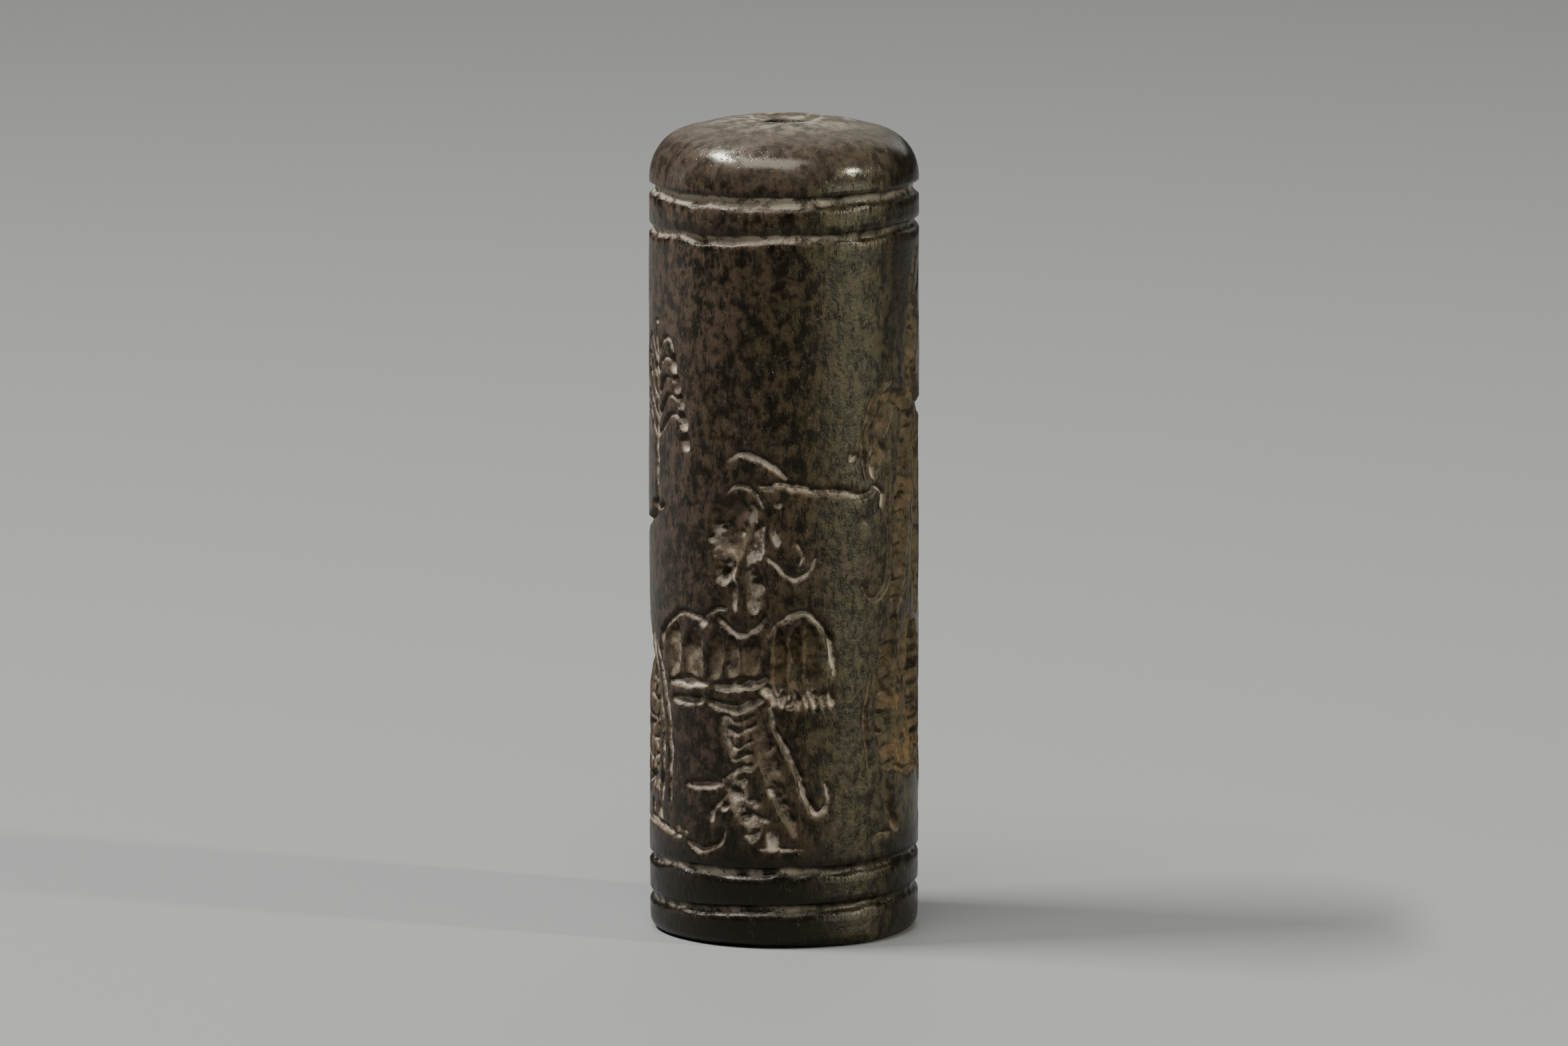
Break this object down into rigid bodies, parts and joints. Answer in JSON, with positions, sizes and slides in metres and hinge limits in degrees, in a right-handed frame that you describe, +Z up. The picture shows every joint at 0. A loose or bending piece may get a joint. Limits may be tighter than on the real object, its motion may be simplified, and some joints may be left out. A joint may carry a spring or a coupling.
{
  "type": "cylinder seal",
  "caption": "Slim dark stone cylinder seal, pierced lengthwise for a cord or pin, with a mythological scene engraved round its side between border lines.",
  "frame": {"origin": "centre of the flat base, on the axis of the perforation", "axes": "+Z up along the perforation, -Y out through the front, where the winged figure is, and +X to the right of it"},
  "size_m": [0.0134, 0.0134, 0.0404],
  "materials": {
    "stone": "worn polish, with pale and rusty deposits in the cuts"
  },
  "bodies": {
    "root": {"seal": "stone"}
  },
  "joints": []
}
